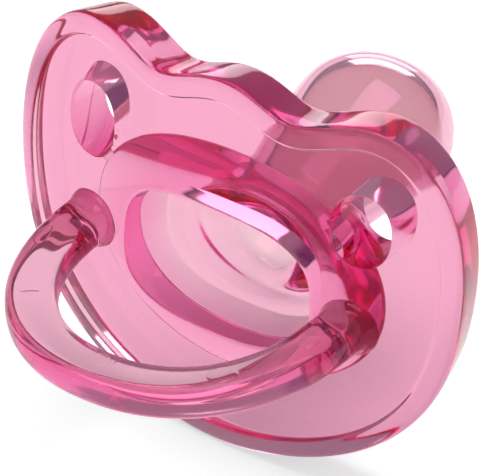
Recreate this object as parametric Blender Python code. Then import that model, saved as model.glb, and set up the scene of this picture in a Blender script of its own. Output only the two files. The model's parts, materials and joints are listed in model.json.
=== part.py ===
"""Silicone pacifier: curved shield with two vents, hollow teat behind it and a loop handle in front.

Frame: +X across the shield, -Y towards the handle, +Z up. The shield is drawn around its own middle,
and the empty "pacifier" then lifts everything so that the lowest edge stands at Z = 0.
"""
import math

import bmesh
import bpy
import numpy as np

# ---- driving dimensions, metres -------------------------------------------------------------
GAP = 0.0003                      # clearance between neighbouring solids

# half outline of the shield seen from the front, from the hump over the teat down to the chin
HALF_OUTLINE = (
    (0.0, 0.0147), (0.0032, 0.0141), (0.0067, 0.0130), (0.0123, 0.0146), (0.0173, 0.0142),
    (0.0209, 0.0111), (0.0232, 0.0051), (0.0233, -0.0024), (0.0212, -0.0100), (0.0164, -0.0158),
    (0.0086, -0.0198), (0.0, -0.0212),
)
BEND_ACROSS = 0.0687              # radius of the shield face from wing to wing
BEND_UPRIGHT = 0.1198             # radius of the shield face from top to bottom
SHIELD_THICK = 0.0048
EDGE_ROUND = 0.0004               # rounding along the front and back edges
RIM_WIDTH = 0.0020
RIM_RISE = 0.0003                 # the rim stands this far proud of the plate
RIM_SLOPE = 0.0004                # width of the slope from the rim down to the plate

RECESS_Z = -0.0037                # centre height of the recess and the teat behind it
RECESS_HALF = (0.0098, 0.0060)    # half width and half height of its mouth
RECESS_DRAFT = 0.0003             # how much narrower it is where it leaves the shield
RECESS_POWER = 2.8                # superellipse exponent of its oval
OVAL_POWER = 2.1                  # and of the rounder ovals of the teat

VENT_X, VENT_Z = 0.0142, 0.0051
VENT_HALF = (0.00275, 0.0034)
VENT_POWER = 2.2                  # superellipse exponent of their oval
VENT_CLIMB = 0.12                 # how far the vents rise towards the back, per unit of depth
VENT_TAPER = 0.02                 # share by which they narrow on the way through the shield
VENT_REACH = 0.004                # the cutter runs this far past both faces

BASE_HALF = (0.0152, 0.0106)      # footprint of the domed base that carries the teat
BASE_EDGE = 0.0003                # thickness of the base along its outer edge
MOUND_HALF = (0.0074, 0.0055)     # top of the dome, where the neck begins
MOUND_RISE, MOUND_POWER = 0.0036, 1.5
NECK_START = 0.0096               # where the base ends and the neck begins
FUNNEL = ((0.0066, 0.0043, 0.0004), (0.0050, 0.0034, 0.0013), (0.0039, 0.0029, 0.0026))
TEAT_PIVOT = (0.0, 0.0080, -0.0029)
NECK_BALL = 0.0080                # radius of the rounded neck end about the teat's pivot
NECK_END = 0.0138                 # edge of that rounded end
NECK_STATIONS = (0.0112, 0.0125)  # rings between the two ends of the neck
TEAT_WALL = 0.0011                # of the bulb
NECK_WALL = 0.0019
NECK_HALF = (0.0055, 0.0047)      # narrowest section of the teat
NECK_FLARE = 0.0004               # extra half width where the neck meets the base
FLARE_SPAN = (0.0100, 0.0130)     # distances between which that flare dies away
RISE_START = 0.0070               # where the teat starts to rise towards the bulb
SWELL_START = 0.0120              # where it starts to swell
BULB_HALF = (0.0074, 0.0066)      # fullest section
BULB_FLAT = 0.12                  # its underside is this much flatter than its top
BULB_START = 0.0158               # first full ring of the bulb behind its hollowed end
BULB_Z = 0.0003
BULB_MIDDLE = 0.0230              # distance of the fullest section behind the shield's front
TEAT_TIP = 0.0297

HANDLE_PIVOT = (0.0136, -0.0002, -0.0043)
HANDLE_REACH = 0.0156             # from the pivot line to the middle of the front bar
HANDLE_POWER = 2.17               # superellipse exponent of the loop
HANDLE_DROP = math.radians(7.8)
HANDLE_HALF = (0.0023, 0.00165)   # half width and half height of the bar
BAR_CORNER = 0.0012               # its corner rounding, which leaves a flat on top
BAR_START = 0.016                 # share of the half turn that the roots take at each end
ROOT_BALL = 0.0022                # rounded end of each root, about the handle's axis
ROOT_FOOT, ROOT_SHANK = 0.0029, 0.0025  # radii of a root's foot and of the step above it
ROOT_STEP = 0.0003                # thickness of the foot, and of the step

# number of segments
AROUND_SHIELD = 96
AROUND_TEAT = 48
AROUND_VENT = 32
CORNER_STEPS = 4
ALONG_BAR = 56
AROUND_ROOT = 28

PINK = (0.80, 0.10, 0.30, 1.0)


def clear_scene():
    for obj in list(bpy.data.objects):
        bpy.data.objects.remove(obj, do_unlink=True)


def silicone(name, tint):
    """Clear pink silicone, a little darker or lighter for each sub-part."""
    material = bpy.data.materials.new(name)
    material.use_nodes = True
    shader = material.node_tree.nodes["Principled BSDF"]
    shader.inputs["Base Color"].default_value = tuple(c * tint for c in PINK[:3]) + (1.0,)
    shader.inputs["Roughness"].default_value = 0.12
    shader.inputs["Metallic"].default_value = 0.0
    shader.inputs["Transmission Weight"].default_value = 0.8
    shader.inputs["IOR"].default_value = 1.41
    return material


def add_object(name, bm, tint, origin=(0.0, 0.0, 0.0)):
    """Turns a bmesh into a named object whose origin is at the given point."""
    bmesh.ops.remove_doubles(bm, verts=bm.verts, dist=1e-6)
    bmesh.ops.recalc_face_normals(bm, faces=bm.faces)
    bmesh.ops.translate(bm, verts=bm.verts, vec=[-c for c in origin])
    mesh = bpy.data.meshes.new(name)
    bm.to_mesh(mesh)
    bm.free()
    mesh.shade_smooth()
    mesh.set_sharp_from_angle(angle=math.radians(35))
    mesh.materials.append(silicone(name, tint))
    obj = bpy.data.objects.new(name, mesh)
    bpy.context.collection.objects.link(obj)
    obj.location = origin
    return obj


# ---- curves and surfaces that the parts share ------------------------------------------------
def closed_spline(points, per_span=24):
    """Periodic cubic spline through the points, as a dense array of (x, z)."""
    p = np.array(points)
    count = len(p)
    step = np.linalg.norm(np.roll(p, -1, 0) - p, axis=1)
    before = np.roll(step, 1)
    slope = (np.roll(p, -1, 0) - p) / step[:, None]
    system = np.zeros((count, count))
    for i in range(count):
        system[i, i] = 2 * (before[i] + step[i])
        system[i, (i - 1) % count] = before[i]
        system[i, (i + 1) % count] = step[i]
    bend = np.linalg.solve(system, 6 * (slope - np.roll(slope, 1, 0)))
    curve = []
    for i in range(count):
        j, h = (i + 1) % count, step[i]
        for t in np.arange(per_span) / per_span:
            a, b = 1 - t, t
            sag = (a**3 - a) * bend[i] + (b**3 - b) * bend[j]
            curve.append(a * p[i] + b * p[j] + h * h / 6 * sag)
    return np.array(curve)


def shield_outline(inset=0.0):
    """Outline of the shield, moved inwards by the inset."""
    right = list(HALF_OUTLINE)
    left = [(-x, z) for x, z in reversed(right[1:-1])]
    curve = closed_spline(right + left)
    along = np.roll(curve, -1, 0) - np.roll(curve, 1, 0)
    along /= np.linalg.norm(along, axis=1)[:, None]
    inward = np.stack([along[:, 1], -along[:, 0]], 1)
    return curve + inset * inward


def ring_of_outline(inset, count=AROUND_SHIELD):
    """Points of the outline at even angles around the recess."""
    curve = shield_outline(inset) - (0.0, RECESS_Z)
    angle = np.arctan2(curve[:, 1], curve[:, 0])
    order = np.argsort(angle)
    wanted = np.linspace(-math.pi, math.pi, count, endpoint=False)
    radius = np.interp(wanted, angle[order], np.hypot(*curve[order].T), period=2 * math.pi)
    return np.stack([radius * np.cos(wanted), radius * np.sin(wanted) + RECESS_Z], 1)


def oval(half_x, half_z, centre_z, count, power=2.0, flat=1.0):
    """Superellipse ring; flat below 1 shortens its lower half."""
    angle = np.linspace(-math.pi, math.pi, count, endpoint=False)
    c, s = np.cos(angle), np.sin(angle)
    x = half_x * np.sign(c) * np.abs(c) ** (2 / power)
    z = half_z * np.sign(s) * np.abs(s) ** (2 / power)
    return np.stack([x, np.where(z < 0, z * flat, z) + centre_z], 1)


def on_shield(ring, depth):
    """Places a ring on the domed shield, at a depth behind its front skin."""
    x, z = ring[:, 0], ring[:, 1]
    y = x**2 / (2 * BEND_ACROSS) + z**2 / (2 * BEND_UPRIGHT)
    normal = np.stack([-x / BEND_ACROSS, np.ones_like(x), -z / BEND_UPRIGHT], 1)
    normal /= np.linalg.norm(normal, axis=1)[:, None]
    return np.stack([x, y, z], 1) + depth * normal


def height_on_shield(x, z, depth):
    """Y of the domed surface that lies at a depth behind the front skin."""
    return x**2 / (2 * BEND_ACROSS) + z**2 / (2 * BEND_UPRIGHT) + depth


def flat_ring(ring, y):
    return np.stack([ring[:, 0], np.broadcast_to(y, len(ring)), ring[:, 1]], 1)


def skin(rings, loop=False, close_start=False, close_end=False):
    """Bridges rings of equal length into a mesh; loop joins the last ring to the first."""
    bm = bmesh.new()
    rows = [[bm.verts.new(point) for point in ring] for ring in rings]
    pairs = list(zip(rows, rows[1:])) + ([(rows[-1], rows[0])] if loop else [])
    for low, high in pairs:
        for i in range(len(low)):
            j = (i + 1) % len(low)
            bm.faces.new((low[i], low[j], high[j], high[i]))
    if close_start:
        bm.faces.new(rows[0])
    if close_end:
        bm.faces.new(rows[-1])
    return bm


def between(first, last, share):
    return first + (last - first) * share


# ---- shield ----------------------------------------------------------------------------------
def make_shield():
    mouth = oval(*RECESS_HALF, RECESS_Z, AROUND_SHIELD, RECESS_POWER)
    narrow = [half - RECESS_DRAFT for half in RECESS_HALF]
    throat = oval(*narrow, RECESS_Z, AROUND_SHIELD, RECESS_POWER)
    plate = ring_of_outline(RIM_WIDTH + RIM_SLOPE)
    back = SHIELD_THICK
    rings = [on_shield(between(mouth, plate, share), RIM_RISE) for share in (0, 0.25, 0.5, 0.75, 1)]
    bow = 0.3 * EDGE_ROUND
    rim = ((RIM_WIDTH, 0.3 * RIM_RISE), (0.8 * RIM_WIDTH, 0.0), (EDGE_ROUND, 0.0), (bow, bow),
           (0.0, EDGE_ROUND), (0.0, back - EDGE_ROUND), (bow, back - bow), (EDGE_ROUND, back))
    rings += [on_shield(ring_of_outline(inset), depth) for inset, depth in rim]
    rings += [on_shield(between(throat, plate, share), back) for share in (1, 0.75, 0.5, 0.25, 0)]
    shield = add_object("shield", skin(rings, loop=True), 1.0)
    for side in (-1, 1):
        shield_vent(shield, side)
    return shield


def shield_vent(shield, side):
    """Cuts one oval air vent through a wing; it climbs and narrows a little towards the back."""
    rings = []
    for depth in (-VENT_REACH, SHIELD_THICK + VENT_REACH):
        size = 1 - VENT_TAPER * depth / SHIELD_THICK
        centre = VENT_Z + VENT_CLIMB * depth
        ring = oval(VENT_HALF[0] * size, VENT_HALF[1] * size, centre, AROUND_VENT, VENT_POWER)
        ring += (side * VENT_X, 0.0)
        rings.append(flat_ring(ring, height_on_shield(VENT_X, VENT_Z, depth)))
    cutter = add_object("vent_cutter", skin(rings, close_start=True, close_end=True), 1.0)
    cutter.hide_render = True
    cutter.display_type = "WIRE"
    cutter.parent = shield
    cut = shield.modifiers.new("vent", "BOOLEAN")
    cut.operation = "DIFFERENCE"
    cut.object = cutter


# ---- teat ------------------------------------------------------------------------------------
def teat_oval(half):
    return oval(*half, RECESS_Z, AROUND_TEAT, OVAL_POWER)


def make_teat_base():
    """Domed base on the shield's back: a funnel runs from the recess's floor into the neck."""
    front = SHIELD_THICK + GAP
    foot, top = teat_oval(BASE_HALF), teat_oval(MOUND_HALF)

    def on_back(ring, rise):
        return flat_ring(ring, height_on_shield(ring[:, 0], ring[:, 1], front + rise))

    rings = [on_back(between(foot, top, share), 0.0) for share in (0.9, 0.45, 0.0)]
    rings.append(on_back(foot, BASE_EDGE))
    for share in (0.1, 0.25, 0.4, 0.6, 0.8, 1.0):
        rise = BASE_EDGE + (MOUND_RISE - BASE_EDGE) * (1 - (1 - share) ** MOUND_POWER)
        rings.append(on_back(between(foot, top, share), rise))
    rings += [flat_ring(teat_ring(NECK_START, wall), NECK_START) for wall in (0.0, TEAT_WALL)]
    for half_x, half_z, rise in reversed(FUNNEL):
        rings.append(on_back(teat_oval((half_x, half_z)), rise))
    return add_object("teat_base", skin(rings, loop=True), 0.85)


def smooth_step(value, start, end):
    share = min(1.0, max(0.0, (value - start) / (end - start)))
    return share * share * (3 - 2 * share)


def teat_ring(y, wall=0.0):
    """Cross-section of the teat at a distance behind the shield, its skin moved inwards by the wall."""
    swell = smooth_step(y, SWELL_START, BULB_MIDDLE)
    flare = NECK_FLARE * (1 - smooth_step(y, *FLARE_SPAN))
    past = max(0.0, y - BULB_MIDDLE) / (TEAT_TIP - wall - BULB_MIDDLE)
    round_off = math.sqrt(1 - past**2)
    thick = wall * (1 + (NECK_WALL / TEAT_WALL - 1) * (1 - swell))
    half = [(neck + (bulb - neck) * swell + flare - thick) * round_off
            for neck, bulb in zip(NECK_HALF, BULB_HALF)]
    centre = RECESS_Z + (BULB_Z - RECESS_Z) * smooth_step(y, RISE_START, BULB_MIDDLE)
    return oval(*half, centre, AROUND_TEAT, OVAL_POWER, 1 - BULB_FLAT * swell)


def bulb_stations(wall=0.0):
    """Places of the bulb's rings: even up to the fullest section, then closing up on the tip."""
    swelling = [BULB_START + (BULB_MIDDLE - BULB_START) * k / 6 for k in range(7)]
    closing = TEAT_TIP - wall - BULB_MIDDLE
    return swelling + [BULB_MIDDLE + closing * math.sin(math.radians(a)) for a in (15, 30, 44, 57, 69, 80)]


def ball_ring(ring, radius):
    """Lays a ring on the ball about the teat's pivot, on the side away from the shield."""
    across = (ring[:, 0] - TEAT_PIVOT[0]) ** 2 + (ring[:, 1] - TEAT_PIVOT[2]) ** 2
    return flat_ring(ring, TEAT_PIVOT[1] + np.sqrt(radius**2 - across))


def make_teat_neck():
    """Short neck whose rounded end is centred on the point about which the teat bends."""
    start = NECK_START + GAP
    outer_end, inner_end = teat_ring(NECK_END), teat_ring(NECK_END, TEAT_WALL)
    outer = [flat_ring(teat_ring(y), y) for y in (start, *NECK_STATIONS)]
    inner = [flat_ring(teat_ring(y, TEAT_WALL), y) for y in (NECK_STATIONS[-1], start)]
    face = [ball_ring(between(outer_end, inner_end, share), NECK_BALL) for share in (0, 0.5, 1)]
    return add_object("teat_neck", skin(outer + face + inner, loop=True), 0.9)


def make_teat_bulb():
    """Hollow bulb, open towards the neck, with an even wall and a closed round tip."""
    beyond = NECK_END + GAP
    outer_start, inner_start = teat_ring(beyond), teat_ring(beyond, TEAT_WALL)
    face = [ball_ring(between(inner_start, outer_start, share), NECK_BALL + GAP) for share in (0, 0.5, 1)]
    outer = [flat_ring(teat_ring(y), y) for y in bulb_stations()]
    inner = [flat_ring(teat_ring(y, TEAT_WALL), y) for y in bulb_stations(TEAT_WALL)]
    bulb = skin(face + outer)
    close_with_point(bulb, outer[-1], (0.0, TEAT_TIP, BULB_Z))
    cavity = skin([face[0]] + inner)
    close_with_point(cavity, inner[-1], (0.0, TEAT_TIP - TEAT_WALL, BULB_Z))
    join(bulb, cavity)
    return add_object("teat_bulb", bulb, 0.95, TEAT_PIVOT)


def close_with_point(bm, ring, tip):
    """Fans the open ring that lies at the given points to one point."""
    bm.verts.ensure_lookup_table()
    rim = [min(bm.verts, key=lambda v: (v.co.x - p[0])**2 + (v.co.y - p[1])**2 + (v.co.z - p[2])**2)
           for p in ring]
    point = bm.verts.new(tip)
    for i in range(len(rim)):
        bm.faces.new((rim[i], rim[(i + 1) % len(rim)], point))


def join(bm, other):
    """Adds the faces of another bmesh; shared rings are welded when the object is made."""
    mesh = bpy.data.meshes.new("joined")
    other.to_mesh(mesh)
    other.free()
    bm.from_mesh(mesh)
    bpy.data.meshes.remove(mesh)


# ---- handle ----------------------------------------------------------------------------------
def bar_section():
    """Rounded rectangle: outward and upward distances from the middle of the bar."""
    points = []
    for quarter, (side, level) in enumerate(((1, 1), (-1, 1), (-1, -1), (1, -1))):
        for k in range(CORNER_STEPS):
            angle = math.radians(90 * (quarter + k / (CORNER_STEPS - 1)))
            points.append((side * (HANDLE_HALF[0] - BAR_CORNER) + BAR_CORNER * math.cos(angle),
                           level * (HANDLE_HALF[1] - BAR_CORNER) + BAR_CORNER * math.sin(angle)))
    return points


def handle_route(share):
    """Middle of the bar and its outward direction in the loop's own plane, share running 0 to 1."""
    turn = math.pi * share
    c, s = math.cos(turn), math.sin(turn)
    x = HANDLE_PIVOT[0] * math.copysign(abs(c) ** (2 / HANDLE_POWER), c)
    reach = HANDLE_REACH * s ** (2 / HANDLE_POWER)
    out_x = math.copysign(abs(c) ** (2 - 2 / HANDLE_POWER), c) / HANDLE_PIVOT[0]
    out_reach = s ** (2 - 2 / HANDLE_POWER) / HANDLE_REACH
    size = math.hypot(out_x, out_reach)
    return x, reach, out_x / size, out_reach / size


def make_handle_loop():
    """D-shaped bar with a flat top; each end is hollowed to fit the ball of its root."""
    section = bar_section()
    forward = np.array((0.0, -math.cos(HANDLE_DROP), -math.sin(HANDLE_DROP)))
    upward = np.array((0.0, -math.sin(HANDLE_DROP), math.cos(HANDLE_DROP)))
    pivot = np.array((0.0, *HANDLE_PIVOT[1:]))
    first = 0.5 - 0.5 * math.cos(math.pi * BAR_START)
    rings = []
    for k in range(ALONG_BAR + 1):
        share = first + (1 - 2 * first) * (0.5 - 0.5 * math.cos(math.pi * k / ALONG_BAR))
        x, reach, out_x, out_reach = handle_route(share)
        middle = pivot + forward * reach + np.array((x, 0, 0))
        outward = forward * out_reach + np.array((out_x, 0, 0))
        rings.append(np.array([middle + outward * a + upward * b for a, b in section]))
    bm = skin(rings, close_start=True, close_end=True)
    loop = add_object("handle_loop", bm, 1.0, tuple(pivot))
    for side in (-1, 1):
        hollow_handle_end(loop, side)
    return loop


def hollow_handle_end(loop, side):
    bm = bmesh.new()
    bmesh.ops.create_uvsphere(bm, u_segments=32, v_segments=16, radius=ROOT_BALL + GAP)
    cutter = add_object("socket_cutter", bm, 1.0)
    cutter.location = (side * HANDLE_PIVOT[0], 0.0, 0.0)
    cutter.hide_render = True
    cutter.display_type = "WIRE"
    cutter.parent = loop
    cut = loop.modifiers.new("socket", "BOOLEAN")
    cut.operation = "DIFFERENCE"
    cut.object = cutter


def make_handle_root(side, name):
    """Flared foot with a step ring, ending in the ball that the handle bends about."""
    centre_x, pivot_y, centre_z = side * HANDLE_PIVOT[0], HANDLE_PIVOT[1], HANDLE_PIVOT[2]

    def disc(radius):
        return oval(radius, radius, centre_z, AROUND_ROOT) + (centre_x, 0.0)

    def above_shield(ring, rise):
        return flat_ring(ring, height_on_shield(ring[:, 0], ring[:, 1], RIM_RISE - GAP - rise))

    foot = disc(ROOT_FOOT)
    rings = [above_shield(disc(ROOT_FOOT / 2), 0.0), above_shield(foot, 0.0), above_shield(foot, ROOT_STEP),
             above_shield(disc(ROOT_SHANK), 2 * ROOT_STEP)]
    for turn in (0, 18, 36, 54, 72):
        angle = math.radians(turn)
        rings.append(flat_ring(disc(ROOT_BALL * math.cos(angle)), pivot_y - ROOT_BALL * math.sin(angle)))
    bm = skin(rings, close_start=True)
    close_with_point(bm, rings[-1], (centre_x, pivot_y - ROOT_BALL, centre_z))
    return add_object(name, bm, 0.9)


# ---- assembly --------------------------------------------------------------------------------
def stand_on_ground(pieces):
    """Parents the pieces to an empty that puts the lowest point at Z = 0 and the middle at Y = 0."""
    bpy.context.view_layer.update()
    corners = np.array([piece.matrix_world @ vertex.co
                        for piece in pieces for vertex in piece.data.vertices])
    frame = bpy.data.objects.new("pacifier", None)
    bpy.context.collection.objects.link(frame)
    middle = (corners[:, 1].min() + corners[:, 1].max()) / 2
    frame.location = (0.0, -middle, -corners[:, 2].min())
    for piece in pieces:
        piece.parent = frame


def main():
    clear_scene()
    stand_on_ground([
        make_shield(), make_teat_base(), make_teat_neck(), make_teat_bulb(), make_handle_loop(),
        make_handle_root(1, "handle_root_right"), make_handle_root(-1, "handle_root_left"),
    ])


main()
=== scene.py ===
"""Looks of the clear pink silicone pacifier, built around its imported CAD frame."""
import json
import math

import bmesh
import bpy
import numpy as np
from mathutils import Matrix, Vector


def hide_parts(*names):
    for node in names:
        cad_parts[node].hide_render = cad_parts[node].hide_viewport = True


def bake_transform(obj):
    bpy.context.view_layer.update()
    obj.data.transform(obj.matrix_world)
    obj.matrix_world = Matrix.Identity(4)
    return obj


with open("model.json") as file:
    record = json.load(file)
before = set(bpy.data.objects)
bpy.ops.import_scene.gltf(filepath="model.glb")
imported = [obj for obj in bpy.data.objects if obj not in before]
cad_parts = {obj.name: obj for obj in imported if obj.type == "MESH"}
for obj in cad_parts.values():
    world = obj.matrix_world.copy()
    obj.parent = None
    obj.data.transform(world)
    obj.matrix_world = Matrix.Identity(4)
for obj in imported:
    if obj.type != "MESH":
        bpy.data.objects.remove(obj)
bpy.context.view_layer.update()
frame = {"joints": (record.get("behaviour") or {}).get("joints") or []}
JOINTS = {joint["name"]: joint for joint in frame["joints"]}

# ---- sizes in metres, around the middle of the shield: -Y is the handle's side, +Y the teat's --
HALF_OUTLINE = (                  # half of the shield's outline from the front, hump down to chin
    (0.0, 0.0147), (0.0032, 0.0141), (0.0067, 0.0130), (0.0123, 0.0146), (0.0173, 0.0142),
    (0.0209, 0.0111), (0.0232, 0.0051), (0.0233, -0.0024), (0.0212, -0.0100), (0.0164, -0.0158),
    (0.0086, -0.0198), (0.0, -0.0212),
)
BEND_ACROSS, BEND_UPRIGHT = 0.0687, 0.1198
SHIELD_THICK = 0.0048
FRONT_ROUND, BACK_ROUND = 0.0005, 0.0002
RIM_WIDTH, RIM_RISE = 0.0020, 0.0003
RIM_SLOPE = 0.0004                # width of the slope from the rim down to the plate

RECESS_Z = -0.0037
RECESS_HALF = (0.0098, 0.0060)
RECESS_POWER = 2.8                # superellipse exponent of the recess
RECESS_DEPTH = 0.0050             # down to its floor, below the front plate
RECESS_DRAFT = 0.0003
FLOOR_PULL = 0.985                # the floor's first ring is this much narrower than the floor
LIP_ROUND = 0.0004
LIP_SPREAD = 1.6                  # in lip roundings, how far out the plate's first ring lies
CORNER = 0.00012                  # small rounding in the recess
# funnel from the recess's floor into the hollow teat: half sizes and depth behind the floor
FUNNEL = ((0.0085, 0.0052, 0.0), (0.0076, 0.0047, 0.0001), (0.0066, 0.0043, 0.0004),
          (0.0057, 0.0038, 0.0008), (0.0050, 0.0034, 0.0013), (0.0044, 0.0031, 0.0019),
          (0.0039, 0.0029, 0.0026))
NECK_START = 0.0096               # where the neck's even bore begins
BORE_LEAD = 0.0010                # from there to the first ring of the hollow teat

VENT_X, VENT_Z = 0.0142, 0.0051
VENT_HALF = (0.00275, 0.0034)
VENT_FILLET = 0.00015
VENT_SPREAD = 1.6                 # in fillets, how far the cutter's end rings spread outwards
VENT_BACK = 1.5                   # and how far its back fillet stands behind the shield
VENT_SINK = 0.8                   # and where each fillet starts, in from the mouth
VENT_REACH = 0.0005               # the cutter runs this far past both mouths
VENT_POWER = 2.2                  # superellipse exponent of their oval
VENT_CLIMB = 0.12                 # how far the vents rise towards the back, per unit of depth
VENT_TAPER = 0.02                 # share by which they narrow on the way through the shield

BASE_HALF = (0.0152, 0.0106)      # footprint of the mound that carries the teat
MOUND_HALF = (0.0074, 0.0055)     # its top, where the neck begins
MOUND_RISE, MOUND_POWER = 0.0036, 1.5
OVAL_POWER = 2.1                  # superellipse exponent of the mound and the teat
NECK_FOOT = ((0.0067, 0.0052, 0.0003), (0.0062, 0.0050, 0.0010))  # half sizes and height over the mound
OUTER_START = 0.0108              # first ring of the teat's outer skin
RISE_START = 0.0070               # where the teat starts to rise towards the bulb
FLARE_SPAN = (0.0100, 0.0130)     # distances between which the neck's flare dies away
SWELL_START = 0.0120              # where the teat starts to swell
TEAT_PIVOT = Vector((0.0, 0.0080, -0.0029))
TEAT_WALL = 0.0011                # of the bulb
NECK_WALL = 0.0019
NECK_HALF = (0.0055, 0.0047)
NECK_FLARE = 0.0004
BULB_HALF = (0.0074, 0.0066)
BULB_FLAT = 0.12                  # the bulb's underside is this much flatter than its top
BULB_Z, BULB_MIDDLE, TEAT_TIP = 0.0003, 0.0230, 0.0297

HANDLE_PIVOT = (0.0136, -0.0002, -0.0043)
HANDLE_REACH = 0.0156
HANDLE_POWER = 2.17               # superellipse exponent of the loop
HANDLE_DROP = math.radians(7.8)
HANDLE_HALF = (0.0023, 0.00165)   # half width and half height of the bar
BAR_CORNER = 0.0012
FOOT_SINK = 0.0002                # the feet overlap the shield, so no air gap shows in the moulding
FOOT_FLARE = (                    # height over the shield's face, and size relative to the bar
    (-FOOT_SINK - 0.00005, 1.10), (-FOOT_SINK, 1.22), (0.0, 1.22), (0.0003, 1.18), (0.0005, 1.15),
    (0.0006, 1.08), (0.0009, 1.05), (0.0014, 1.02), (0.0020, 1.0),
)
FOOT_HEIGHT = 0.0020              # over which the foot's section becomes the bar's
FOOT_HALF_HEIGHT, FOOT_CORNER = 0.00215, 0.0020
BAR_STEPS = 72
BAR_SPAN = (0.004, 0.992)         # share of the loop at which the bar starts, and its length
BAR_CLEAR = 0.0024                # bar rings closer to the pivot than this belong to the feet
# marks on the bar's top: place along the bar (0 right, 1 left), offset outwards, half length and width
PINS = ((0.06, 0.0002, 0.0011, 0.0008), (0.24, 0.0002, 0.0014, 0.0010), (0.49, -0.0003, 0.0010, 0.0009),
        (0.925, 0.0008, 0.0014, 0.0006))
NOTCHES = ((0.46, -0.0012, 0.0010), (0.755, 0.0002, 0.0010))
PIN_RISE, NOTCH_DEPTH = 0.00007, 0.00008
NOTCH_HALF_LENGTH = 0.00018

# ---- light and colour ---------------------------------------------------------------------------
ABSORB_COLOUR, ABSORB_DENSITY = (0.974, 0.03, 0.60, 1), 118.0
TINTS = ((0.76, 0.59, 0.595, 1), (0.72, 0.545, 0.555, 1))
GLOSS_TINT = (1.0, 0.4, 0.75, 1)
ROUGHNESS = (0.04, 0.09)
CLEARNESS = 0.985
SILICONE_IOR = 1.41
LIGHT_PATHS = 32                  # bounces that a ray may make inside the clear moulding
CLOUD_SCALE, CLOUD_DETAIL = 90.0, 3.0
SMOOTH_ANGLE = math.radians(40)
LIGHTS = (                        # name, place, size and power of each softbox
    ("overhead", (0.0, 0.05, 0.8), (0.5, 0.5), 3.2),
    ("back_softbox", (-0.43, 0.74, 0.20), (0.45, 0.28), 1.1),
    ("front_left", (-0.5, -0.45, 0.45), (0.25, 0.35), 0.1),
)
FLOOR_SIZE = 3.0
FLOOR_ROUGHNESS = 0.9
FLOOR_WHITE, FLOOR_GLOW = 0.80, 0.76
SHEET_EDGE = (0.30, 0.60)
ROOM_GREY = (0.06, 0.05, 0.06)
SKY_LOW, SKY_HIGH = (0.42, 0.40, 0.44), (0.45, 0.45, 0.45)
SKY_SPAN = (0.0, 0.6)
FLAG_COLOUR = (0.20, 0.06, 0.20)
FLAG_SIDE = Vector((0.55, 0.75, 0.30)).normalized()
FLAG_EDGE = (0.76, 0.88)          # cosine from the flag's middle where it starts and is full
CAMERA_AZIMUTH, CAMERA_ELEVATION = math.radians(35.6), math.radians(31.07)
CAMERA_ROLL = math.radians(2.84)
CAMERA_DISTANCE, VIEW_WIDTH = 1.0, 0.0422
OFF_CENTRE = (0.00344, -0.00013)  # how far right of and below the shield's middle it aims

AROUND = 96
EVEN_ANGLES = np.linspace(-math.pi, math.pi, AROUND, endpoint=False)
ORIGIN = Vector(JOINTS["teat_bend"]["pos_m"]) - TEAT_PIVOT


# ---- curves and surfaces ------------------------------------------------------------------------
def closed_spline(points, per_span=24):
    """Periodic cubic spline through the points, as a dense array."""
    p = np.array(points)
    count = len(p)
    step = np.linalg.norm(np.roll(p, -1, 0) - p, axis=1)
    before = np.roll(step, 1)
    slope = (np.roll(p, -1, 0) - p) / step[:, None]
    system = np.zeros((count, count))
    for i in range(count):
        system[i, i] = 2 * (before[i] + step[i])
        system[i, (i - 1) % count] = before[i]
        system[i, (i + 1) % count] = step[i]
    bend = np.linalg.solve(system, 6 * (slope - np.roll(slope, 1, 0)))
    curve = []
    for i in range(count):
        j, h = (i + 1) % count, step[i]
        for b in np.arange(per_span) / per_span:
            a = 1 - b
            curve.append(a * p[i] + b * p[j] + h * h / 6 * ((a**3 - a) * bend[i] + (b**3 - b) * bend[j]))
    return np.array(curve)


def even_ring(curve):
    """Points of a closed curve about the recess's middle, resampled at even angles around it."""
    angle = np.arctan2(curve[:, 1], curve[:, 0])
    order = np.argsort(angle)
    radius = np.interp(EVEN_ANGLES, angle[order], np.hypot(*curve[order].T), period=2 * math.pi)
    return np.stack([radius * np.cos(EVEN_ANGLES), radius * np.sin(EVEN_ANGLES) + RECESS_Z], 1)


def outline_ring(inset):
    """The shield's outline, moved inwards."""
    right = list(HALF_OUTLINE)
    curve = closed_spline(right + [(-x, z) for x, z in reversed(right[1:-1])])
    along = np.roll(curve, -1, 0) - np.roll(curve, 1, 0)
    along /= np.linalg.norm(along, axis=1)[:, None]
    return even_ring(curve + inset * np.stack([along[:, 1], -along[:, 0]], 1) - (0.0, RECESS_Z))


def oval(half_x, half_z, centre_z, power=2.0, flat=1.0, count=AROUND):
    """Superellipse ring; flat below 1 shortens its lower half."""
    angle = np.linspace(-math.pi, math.pi, count, endpoint=False)
    c, s = np.cos(angle), np.sin(angle)
    x = half_x * np.sign(c) * np.abs(c) ** (2 / power)
    z = half_z * np.sign(s) * np.abs(s) ** (2 / power)
    return np.stack([x, np.where(z < 0, z * flat, z) + centre_z], 1)


def even_oval(half_x, half_z, power):
    """Superellipse ring round the recess's middle with its points at even angles."""
    return even_ring(oval(half_x, half_z, 0.0, power, count=15 * AROUND))


def front_y(ring):
    """Y of the shield's domed front skin under each point of a ring."""
    return ring[:, 0] ** 2 / (2 * BEND_ACROSS) + ring[:, 1] ** 2 / (2 * BEND_UPRIGHT)


def on_shield(ring, depth):
    """Places a ring on the domed shield, at a depth behind its front skin."""
    x, z = ring[:, 0], ring[:, 1]
    normal = np.stack([-x / BEND_ACROSS, np.ones_like(x), -z / BEND_UPRIGHT], 1)
    normal /= np.linalg.norm(normal, axis=1)[:, None]
    return flat_ring(ring, front_y(ring)) + np.reshape(depth, (-1, 1)) * normal


def flat_ring(ring, y):
    return np.stack([ring[:, 0], np.broadcast_to(y, len(ring)), ring[:, 1]], 1)


def between(first, last, share):
    return first + (last - first) * share


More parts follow.
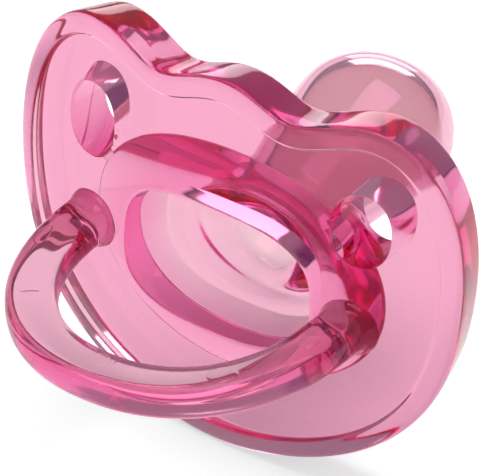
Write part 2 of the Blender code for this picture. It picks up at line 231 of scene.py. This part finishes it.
def smooth_step(value, start=0.0, end=1.0):
    share = min(1.0, max(0.0, (value - start) / (end - start)))
    return share * share * (3 - 2 * share)


def skin(rings, close_start=None, close_end=None):
    """Bridges rings of equal length; an end closes in a fan to its point, or in one flat face."""
    bm = bmesh.new()
    rows = [[bm.verts.new(point) for point in ring] for ring in rings]
    for low, high in zip(rows, rows[1:]):
        for i in range(len(low)):
            j = (i + 1) % len(low)
            bm.faces.new((low[i], low[j], high[j], high[i]))
    for row, point in ((rows[0], close_start), (rows[-1], close_end)):
        if point is None:
            bm.faces.new(row)
            continue
        tip = bm.verts.new(point)
        for i in range(len(row)):
            bm.faces.new((row[i], row[(i + 1) % len(row)], tip))
    bmesh.ops.recalc_face_normals(bm, faces=bm.faces)
    return bm


def new_object(name, bm, levels=0):
    """Turns a bmesh drawn about the shield's middle into a placed object, subdivided."""
    bmesh.ops.translate(bm, verts=bm.verts, vec=ORIGIN)
    mesh = bpy.data.meshes.new(name)
    bm.to_mesh(mesh)
    bm.free()
    obj = bpy.data.objects.new(name, mesh)
    bpy.context.collection.objects.link(obj)
    if levels:
        smooth = obj.modifiers.new("smooth", "SUBSURF")
        smooth.levels = smooth.render_levels = levels
        apply_modifiers(obj)
    return obj


def apply_modifiers(obj):
    bpy.context.view_layer.update()
    made = bpy.data.meshes.new_from_object(obj.evaluated_get(bpy.context.evaluated_depsgraph_get()))
    obj.modifiers.clear()
    obj.data = made


def boolean(target, tool, operation):
    """Cuts or joins a tool object and removes it."""
    step = target.modifiers.new("step", "BOOLEAN")
    step.operation = operation
    step.object = tool
    apply_modifiers(target)
    bpy.data.objects.remove(tool)


# ---- shield and teat, one moulding --------------------------------------------------------------
def teat_ring(y, wall=0.0):
    """Cross-section of the teat at a distance behind the shield, its skin moved inwards by the wall."""
    swell = smooth_step(y, SWELL_START, BULB_MIDDLE)
    flare = NECK_FLARE * (1 - smooth_step(y, *FLARE_SPAN))
    past = max(0.0, y - BULB_MIDDLE) / (TEAT_TIP - wall - BULB_MIDDLE)
    round_off = math.sqrt(1 - past**2)
    thick = wall * (1 + (NECK_WALL / TEAT_WALL - 1) * (1 - swell))
    half = [(neck + (bulb - neck) * swell + flare - thick) * round_off
            for neck, bulb in zip(NECK_HALF, BULB_HALF)]
    centre = RECESS_Z + (BULB_Z - RECESS_Z) * smooth_step(y, RISE_START, BULB_MIDDLE)
    return flat_ring(oval(*half, centre, OVAL_POWER, 1 - BULB_FLAT * swell), y)


def teat_stations(start, wall=0.0):
    """Distances of the teat's rings, from the neck to just short of the tip."""
    neck = [between(start, BULB_MIDDLE, k / 10) for k in range(11)]
    tip = TEAT_TIP - wall
    turns = (math.radians(a) for a in (14, 28, 41, 53, 64, 74, 83))
    return neck + [between(BULB_MIDDLE, tip, math.sin(turn)) for turn in turns]


def recess_rings():
    """The hollow from the neck out to the front plate: bore, floor, wall and rounded lip."""
    mouth = even_oval(*RECESS_HALF, RECESS_POWER)
    floor = even_oval(*(half - RECESS_DRAFT for half in RECESS_HALF), RECESS_POWER)
    neck = even_oval(*(half + NECK_FLARE - NECK_WALL for half in NECK_HALF), OVAL_POWER)
    deep = RIM_RISE + RECESS_DEPTH
    rings = [flat_ring(neck, NECK_START)]
    for half_x, half_z, more in reversed(FUNNEL):
        rings.append(on_shield(even_oval(half_x, half_z, OVAL_POWER), deep + more))
    rings.append(on_shield(floor * (FLOOR_PULL, 1.0), deep))
    rings += [on_shield(floor, deep - steps * CORNER) for steps in (1, 3)]
    for share in (0.3, 0.6, 0.82):
        rings.append(on_shield(between(floor, mouth, share), between(deep, RIM_RISE, share)))
    for turn in (15, 45, 75, 90):
        turn = math.radians(turn)
        out = LIP_ROUND * (1 - math.cos(turn)) / RECESS_HALF[1]
        rings.append(on_shield(between(np.array((0.0, RECESS_Z)), mouth, 1 + out),
                               RIM_RISE + LIP_ROUND * (1 - math.sin(turn))))
    return rings


def edge_rings():
    """The raised rim, its rounded front edge, the rim's side and the rounded back edge."""
    back = SHIELD_THICK
    profile = (
        (RIM_WIDTH + 0.00008, RIM_RISE), (RIM_WIDTH + 0.00003, 0.85 * RIM_RISE),
        (RIM_WIDTH - 0.00012, 0.3 * RIM_RISE), (RIM_WIDTH - 0.00022, 0.06 * RIM_RISE),
        (0.65 * RIM_WIDTH, 0.0), (FRONT_ROUND * 1.2, 0.0), (FRONT_ROUND * 0.3, FRONT_ROUND * 0.3),
        (0.0, FRONT_ROUND * 1.2), (0.0, back / 2), (0.0, back - BACK_ROUND * 1.2),
        (BACK_ROUND * 0.3, back - BACK_ROUND * 0.3), (BACK_ROUND * 1.2, back),
    )
    return [on_shield(outline_ring(inset), depth) for inset, depth in profile]


def mound_rings():
    """The domed base of the teat behind the shield, then the foot of the neck."""
    rings = []
    foot, top = (even_oval(*half, OVAL_POWER) for half in (BASE_HALF, MOUND_HALF))
    for share in (0.05, 0.12, 0.22, 0.34, 0.46, 0.58, 0.70, 0.82, 0.92, 1.0):
        ring = between(foot, top, share)
        rise = MOUND_RISE * (1 - (1 - share) ** MOUND_POWER)
        rings.append(flat_ring(ring, front_y(ring) + SHIELD_THICK + rise))
    over = MOUND_RISE + SHIELD_THICK
    for half_x, half_z, rise in NECK_FOOT:
        rings.append(flat_ring(even_oval(half_x, half_z, OVAL_POWER), over + rise))
    return rings


def make_moulding():
    """Inner skin from the tip out through the recess, then the shield, then the outer skin to the tip."""
    bore = teat_stations(NECK_START + BORE_LEAD, TEAT_WALL)
    inner = [teat_ring(y, TEAT_WALL) for y in reversed(bore)]
    recess = recess_rings()
    lip_out = even_oval(*(half + LIP_SPREAD * LIP_ROUND for half in RECESS_HALF), RECESS_POWER)
    plate = outline_ring(RIM_WIDTH + RIM_SLOPE)
    front = [on_shield(between(lip_out, plate, share), RIM_RISE)
             for share in (0.0, 0.12, 0.3, 0.5, 0.7, 0.85, 1)]
    foot = even_oval(*BASE_HALF, OVAL_POWER)
    behind = [on_shield(between(plate, foot, share), SHIELD_THICK)
              for share in (0, 0.15, 0.35, 0.6, 0.85, 1)]
    outer = [teat_ring(y) for y in teat_stations(OUTER_START)]
    rings = inner + recess + front + edge_rings() + behind + mound_rings() + outer
    inside_tip, outside_tip = (0.0, TEAT_TIP - TEAT_WALL, BULB_Z), (0.0, TEAT_TIP, BULB_Z)
    moulding = new_object("silicone_shield_and_teat", skin(rings, inside_tip, outside_tip), 2)
    for side in (-1, 1):
        boolean(moulding, vent_cutter(side), "DIFFERENCE")
    return moulding


def vent_cutter(side):
    """Spool that cuts an oval vent through a wing, with a small fillet at both mouths."""
    turns = [math.radians(90 * k / 5) for k in range(6)]

    def ring(extra, from_front, depth):
        deep = RIM_RISE + depth if from_front else SHIELD_THICK + VENT_BACK * VENT_FILLET - depth
        size = 1 - VENT_TAPER * deep / SHIELD_THICK
        half = [size * side_half + extra for side_half in VENT_HALF]
        flat = oval(*half, VENT_Z + VENT_CLIMB * deep, power=VENT_POWER, count=64)
        flat += (side * VENT_X, 0.0)
        return flat_ring(flat, front_y(flat) + deep)

    def mouth(from_front):
        rounding = [ring(VENT_FILLET * (1 - math.sin(t)), from_front,
                         VENT_FILLET * (VENT_SINK - math.cos(t))) for t in turns]
        return [ring(VENT_SPREAD * VENT_FILLET, from_front, -VENT_REACH)] + rounding

    return new_object("vent_cutter", skin(mouth(True) + mouth(False)[::-1]))


# ---- handle -------------------------------------------------------------------------------------
def bar_section(half_w, half_h, corner, steps=4):
    """Rounded rectangle: outward and upward distances from the middle of the bar."""
    points = []
    for quarter, (side, level) in enumerate(((1, 1), (-1, 1), (-1, -1), (1, -1))):
        for k in range(steps):
            angle = math.radians(90 * (quarter + k / (steps - 1)))
            points.append((side * (half_w - corner) + corner * math.cos(angle),
                           level * (half_h - corner) + corner * math.sin(angle)))
    return points


FORWARD = Vector((0.0, -math.cos(HANDLE_DROP), -math.sin(HANDLE_DROP)))
UPWARD = Vector((0.0, -math.sin(HANDLE_DROP), math.cos(HANDLE_DROP)))
ACROSS = Vector((1.0, 0.0, 0.0))


def handle_place(share):
    """Middle of the bar and its outward direction, share running 0 at the right to 1 at the left."""
    c, s = math.cos(math.pi * share), math.sin(math.pi * share)
    x = HANDLE_PIVOT[0] * math.copysign(abs(c) ** (2 / HANDLE_POWER), c)
    reach = HANDLE_REACH * s ** (2 / HANDLE_POWER)
    out_x = math.copysign(abs(c) ** (2 - 2 / HANDLE_POWER), c) / HANDLE_PIVOT[0]
    out_reach = s ** (2 - 2 / HANDLE_POWER) / HANDLE_REACH
    middle = Vector((x, HANDLE_PIVOT[1], HANDLE_PIVOT[2])) + FORWARD * reach
    return middle, (ACROSS * out_x + FORWARD * out_reach).normalized(), reach


def foot_rings(side):
    """Flared foot from just inside the shield's face up to the bar, with a small step round it."""
    centre = np.array([[HANDLE_PIVOT[0], HANDLE_PIVOT[2]]])
    surface = float(front_y(centre)[0]) + RIM_RISE
    rings = []
    for rise, size in FOOT_FLARE:
        share = smooth_step(rise, 0.0, FOOT_HEIGHT)
        half_h = between(FOOT_HALF_HEIGHT, HANDLE_HALF[1], share)
        corner = between(FOOT_CORNER, BAR_CORNER, share)
        section = bar_section(HANDLE_HALF[0] * size, half_h * size, corner * size)
        flat = np.array([(side * (HANDLE_PIVOT[0] + a), HANDLE_PIVOT[2] + b) for a, b in section])
        y = between(front_y(flat) + RIM_RISE, surface, share) - rise
        rings.append(flat_ring(flat, y))
    return rings


def make_handle():
    """Bar swept round the loop between two feet, with the small marks of its mould on top."""
    rings = []
    section = bar_section(*HANDLE_HALF, BAR_CORNER)
    for k in range(BAR_STEPS + 1):
        eased = 0.5 - 0.5 * math.cos(math.pi * k / BAR_STEPS)
        middle, outward, reach = handle_place(BAR_SPAN[0] + BAR_SPAN[1] * eased)
        if reach > BAR_CLEAR:
            rings.append([middle + outward * a + UPWARD * b for a, b in section])
    handle = new_object("silicone_handle", skin(foot_rings(1) + rings + foot_rings(-1)[::-1]), 2)
    for share, offset, half_length, half_width in PINS:
        boolean(handle, lens(share, offset, half_length, half_width, PIN_RISE), "UNION")
    for share, offset, half_width in NOTCHES:
        boolean(handle, lens(share, offset, NOTCH_HALF_LENGTH, half_width, NOTCH_DEPTH), "DIFFERENCE")
    return handle


def lens(share, offset, half_length, half_width, rise):
    """Small rounded form lying in the bar's top face: a pin mark when joined, a notch when cut."""
    middle, outward, _ = handle_place(share)
    along = outward.cross(UPWARD)
    centre = middle + outward * offset + UPWARD * HANDLE_HALF[1]
    turns = np.linspace(0, 2 * math.pi, 32, endpoint=False)
    rings = []
    for tilt in (-75, -50, -25, 0, 25, 50, 75):
        size, level = math.cos(math.radians(tilt)) ** 0.5, rise * math.sin(math.radians(tilt))
        rings.append([centre + along * half_length * size * math.cos(t)
                      + outward * half_width * size * math.sin(t) + UPWARD * level for t in turns])
    return new_object("bar_mark", skin(rings, centre - UPWARD * rise, centre + UPWARD * rise))


# ---- materials ----------------------------------------------------------------------------------
def silicone_material():
    """Clear tinted silicone: the colour is in its depth, and its gloss varies a little."""
    material = bpy.data.materials.new("clear_pink_silicone")
    material.use_nodes = True
    nodes, links = material.node_tree.nodes, material.node_tree.links
    shader = nodes["Principled BSDF"]
    shader.inputs["Transmission Weight"].default_value = CLEARNESS
    shader.inputs["IOR"].default_value = SILICONE_IOR
    shader.inputs["Specular Tint"].default_value = GLOSS_TINT
    place = nodes.new("ShaderNodeTexCoord")
    cloud = nodes.new("ShaderNodeTexNoise")
    cloud.inputs["Scale"].default_value = CLOUD_SCALE
    cloud.inputs["Detail"].default_value = CLOUD_DETAIL
    links.new(place.outputs["Object"], cloud.inputs["Vector"])
    rough = nodes.new("ShaderNodeMapRange")
    rough.inputs["To Min"].default_value, rough.inputs["To Max"].default_value = ROUGHNESS
    links.new(cloud.outputs["Fac"], rough.inputs["Value"])
    links.new(rough.outputs["Result"], shader.inputs["Roughness"])
    tint = nodes.new("ShaderNodeMix")
    tint.data_type = "RGBA"
    for socket, colour in zip((tint.inputs[6], tint.inputs[7]), TINTS):
        socket.default_value = colour
    links.new(cloud.outputs["Fac"], tint.inputs[0])
    links.new(tint.outputs[2], shader.inputs["Base Color"])
    absorb = nodes.new("ShaderNodeVolumeAbsorption")
    absorb.inputs["Color"].default_value = ABSORB_COLOUR
    absorb.inputs["Density"].default_value = ABSORB_DENSITY
    links.new(absorb.outputs["Volume"], nodes["Material Output"].inputs["Volume"])
    return material


def floor_material():
    """White sheet under the object that falls off to the grey of the room."""
    material = bpy.data.materials.new("floor_paint")
    material.use_nodes = True
    nodes, links = material.node_tree.nodes, material.node_tree.links
    shader = nodes["Principled BSDF"]
    shader.inputs["Roughness"].default_value = FLOOR_ROUGHNESS
    place = nodes.new("ShaderNodeTexCoord")
    length = nodes.new("ShaderNodeVectorMath")
    length.operation = "LENGTH"
    links.new(place.outputs["Object"], length.inputs[0])
    fade = nodes.new("ShaderNodeValToRGB")
    ends = ((FLOOR_WHITE,) * 3, ROOM_GREY)
    for element, where, colour in zip(fade.color_ramp.elements, SHEET_EDGE, ends):
        element.position = where
        element.color = (*colour, 1)
    links.new(length.outputs["Value"], fade.inputs["Fac"])
    links.new(fade.outputs["Color"], shader.inputs["Base Color"])
    links.new(fade.outputs["Color"], shader.inputs["Emission Color"])
    shader.inputs["Emission Strength"].default_value = FLOOR_GLOW
    return material


# ---- studio -------------------------------------------------------------------------------------
def make_floor():
    bm = bmesh.new()
    bmesh.ops.create_grid(bm, x_segments=1, y_segments=1, size=FLOOR_SIZE)
    mesh = bpy.data.meshes.new("floor")
    bm.to_mesh(mesh)
    bm.free()
    floor = bpy.data.objects.new("floor", mesh)
    bpy.context.collection.objects.link(floor)
    floor.data.materials.append(floor_material())


def make_world():
    """Even light all round, with one dark flag low down behind the object's right side."""
    world = bpy.data.worlds.new("studio")
    bpy.context.scene.world = world
    world.use_nodes = True
    nodes, links = world.node_tree.nodes, world.node_tree.links
    place = nodes.new("ShaderNodeTexCoord")
    split = nodes.new("ShaderNodeSeparateXYZ")
    links.new(place.outputs["Generated"], split.inputs[0])
    sky = nodes.new("ShaderNodeValToRGB")
    for element, where, colour in zip(sky.color_ramp.elements, SKY_SPAN, (SKY_LOW, SKY_HIGH)):
        element.position = where
        element.color = (*colour, 1)
    links.new(split.outputs["Z"], sky.inputs["Fac"])
    side = nodes.new("ShaderNodeVectorMath")
    side.operation = "DOT_PRODUCT"
    side.inputs[1].default_value = FLAG_SIDE
    links.new(place.outputs["Generated"], side.inputs[0])
    flag = nodes.new("ShaderNodeMapRange")
    flag.interpolation_type = "SMOOTHSTEP"
    flag.inputs["From Min"].default_value, flag.inputs["From Max"].default_value = FLAG_EDGE
    links.new(side.outputs["Value"], flag.inputs["Value"])
    shade = nodes.new("ShaderNodeMix")
    shade.data_type = "RGBA"
    links.new(flag.outputs["Result"], shade.inputs[0])
    links.new(sky.outputs["Color"], shade.inputs[6])
    shade.inputs[7].default_value = (*FLAG_COLOUR, 1)
    links.new(shade.outputs[2], nodes["Background"].inputs["Color"])


def area_light(name, location, size, power):
    """Rectangular softbox aimed at the object."""
    data = bpy.data.lights.new(name, "AREA")
    data.shape = "RECTANGLE"
    data.size, data.size_y = size
    data.energy = power
    light = bpy.data.objects.new(name, data)
    bpy.context.collection.objects.link(light)
    light.location = location
    light.rotation_euler = (ORIGIN - Vector(location)).to_track_quat("-Z", "Y").to_euler()


def make_studio():
    make_floor()
    make_world()
    for light in LIGHTS:
        area_light(*light)


def make_camera():
    """Long lens from the front right and above, slightly rolled."""
    level = math.cos(CAMERA_ELEVATION)
    away = Vector((math.sin(CAMERA_AZIMUTH) * level, -math.cos(CAMERA_AZIMUTH) * level,
                   math.sin(CAMERA_ELEVATION)))
    turn = (-away).to_track_quat("-Z", "Y").to_matrix().to_4x4() @ Matrix.Rotation(CAMERA_ROLL, 4, "Z")
    aim = ORIGIN + turn.col[0].to_3d() * OFF_CENTRE[0] + turn.col[1].to_3d() * OFF_CENTRE[1]
    data = bpy.data.cameras.new("camera")
    data.lens = data.sensor_width * CAMERA_DISTANCE / VIEW_WIDTH
    data.clip_start, data.clip_end = 0.01, 20
    camera = bpy.data.objects.new("camera", data)
    bpy.context.collection.objects.link(camera)
    camera.matrix_world = Matrix.Translation(aim + away * CAMERA_DISTANCE) @ turn
    bpy.context.scene.camera = camera


def finish_piece(piece, material):
    piece.data.materials.clear()
    piece.data.materials.append(material)
    piece.data.shade_smooth()
    piece.data.set_sharp_from_angle(angle=SMOOTH_ANGLE)


make_camera()
make_studio()
silicone = silicone_material()
moulding = make_moulding()
finish_piece(moulding, silicone)
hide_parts("shield", "teat_base", "teat_neck", "teat_bulb")
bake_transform(moulding)
handle = make_handle()
finish_piece(handle, silicone)
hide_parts("handle_loop", "handle_root_left", "handle_root_right")
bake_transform(handle)

scene = bpy.context.scene
scene.view_settings.view_transform = "Standard"
scene.cycles.caustics_refractive = scene.cycles.caustics_reflective = False
scene.cycles.max_bounces = LIGHT_PATHS
scene.cycles.transmission_bounces = scene.cycles.glossy_bounces = LIGHT_PATHS
